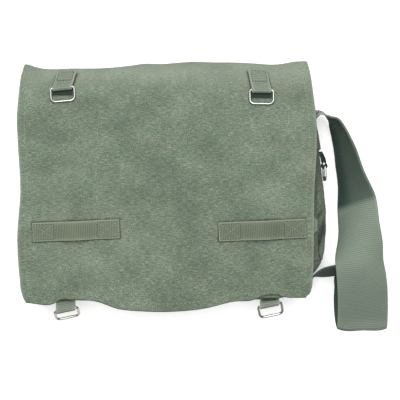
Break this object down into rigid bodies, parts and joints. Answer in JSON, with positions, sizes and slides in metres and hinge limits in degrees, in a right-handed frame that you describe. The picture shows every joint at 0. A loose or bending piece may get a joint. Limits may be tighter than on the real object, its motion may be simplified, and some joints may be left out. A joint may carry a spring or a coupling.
{
  "type": "military field bag",
  "caption": "Canvas field bag lying on its back, with a full front flap, ring tabs, lash loops and a wide webbing shoulder strap.",
  "frame": {"origin": "middle of the back panel's underside, on the floor that the bag lies on", "axes": "+X to the bag's right seen from its front, +Y to its top, +Z out of its front"},
  "size_m": [0.3999, 0.2933, 0.0897],
  "materials": {
    "canvas": "washed olive cotton canvas, matt and mottled",
    "webbing": "olive cotton webbing, ribbed and matt",
    "strap_webbing": "wide olive cotton webbing with crosswise ribs",
    "nickel_wire": "nickel-plated steel wire, bright"
  },
  "bodies": {
    "bag": {"back_panel": "canvas", "front_panel": "canvas", "gusset_right": "canvas", "gusset_bottom": "canvas", "gusset_left": "canvas", "flap": "canvas", "flap_tab_left": "webbing", "flap_tab_right": "webbing", "side_tab_right": "webbing", "base_tab_left": "webbing", "base_tab_right": "webbing", "lash_loop_left": "webbing", "lash_loop_right": "webbing", "shoulder_strap": "strap_webbing"},
    "flap_ring_left": {"flap_ring_left": "nickel_wire"},
    "flap_ring_right": {"flap_ring_right": "nickel_wire"},
    "side_ring_right": {"side_ring_right": "nickel_wire"},
    "base_ring_left": {"base_ring_left": "nickel_wire"},
    "base_ring_right": {"base_ring_right": "nickel_wire"}
  },
  "joints": [
    {"name": "flap_ring_left_swing", "type": "hinge", "parent": "bag", "child": "flap_ring_left", "pos_m": [-0.11053, 0.1045, 0.07396], "axis": [-0.9956, -0.0928, -0.0138], "range_deg": [0, 110]},
    {"name": "flap_ring_right_swing", "type": "hinge", "parent": "bag", "child": "flap_ring_right", "pos_m": [0.10104, 0.10188, 0.07636], "axis": [-0.9982, 0.0133, 0.0584], "range_deg": [0, 110]},
    {"name": "side_ring_right_swing", "type": "hinge", "parent": "bag", "child": "side_ring_right", "pos_m": [0.17011, 0.022, 0.0365], "axis": [0, 0, 1], "range_deg": [0, 75]},
    {"name": "base_ring_left_swing", "type": "hinge", "parent": "bag", "child": "base_ring_left", "pos_m": [-0.1076, -0.13174, 0.0615], "axis": [0.9781, 0.2079, 0], "range_deg": [-97, 38]},
    {"name": "base_ring_right_swing", "type": "hinge", "parent": "bag", "child": "base_ring_right", "pos_m": [0.11, -0.12648, 0.0615], "axis": [0.9781, 0.2079, 0], "range_deg": [-80, 55]}
  ]
}
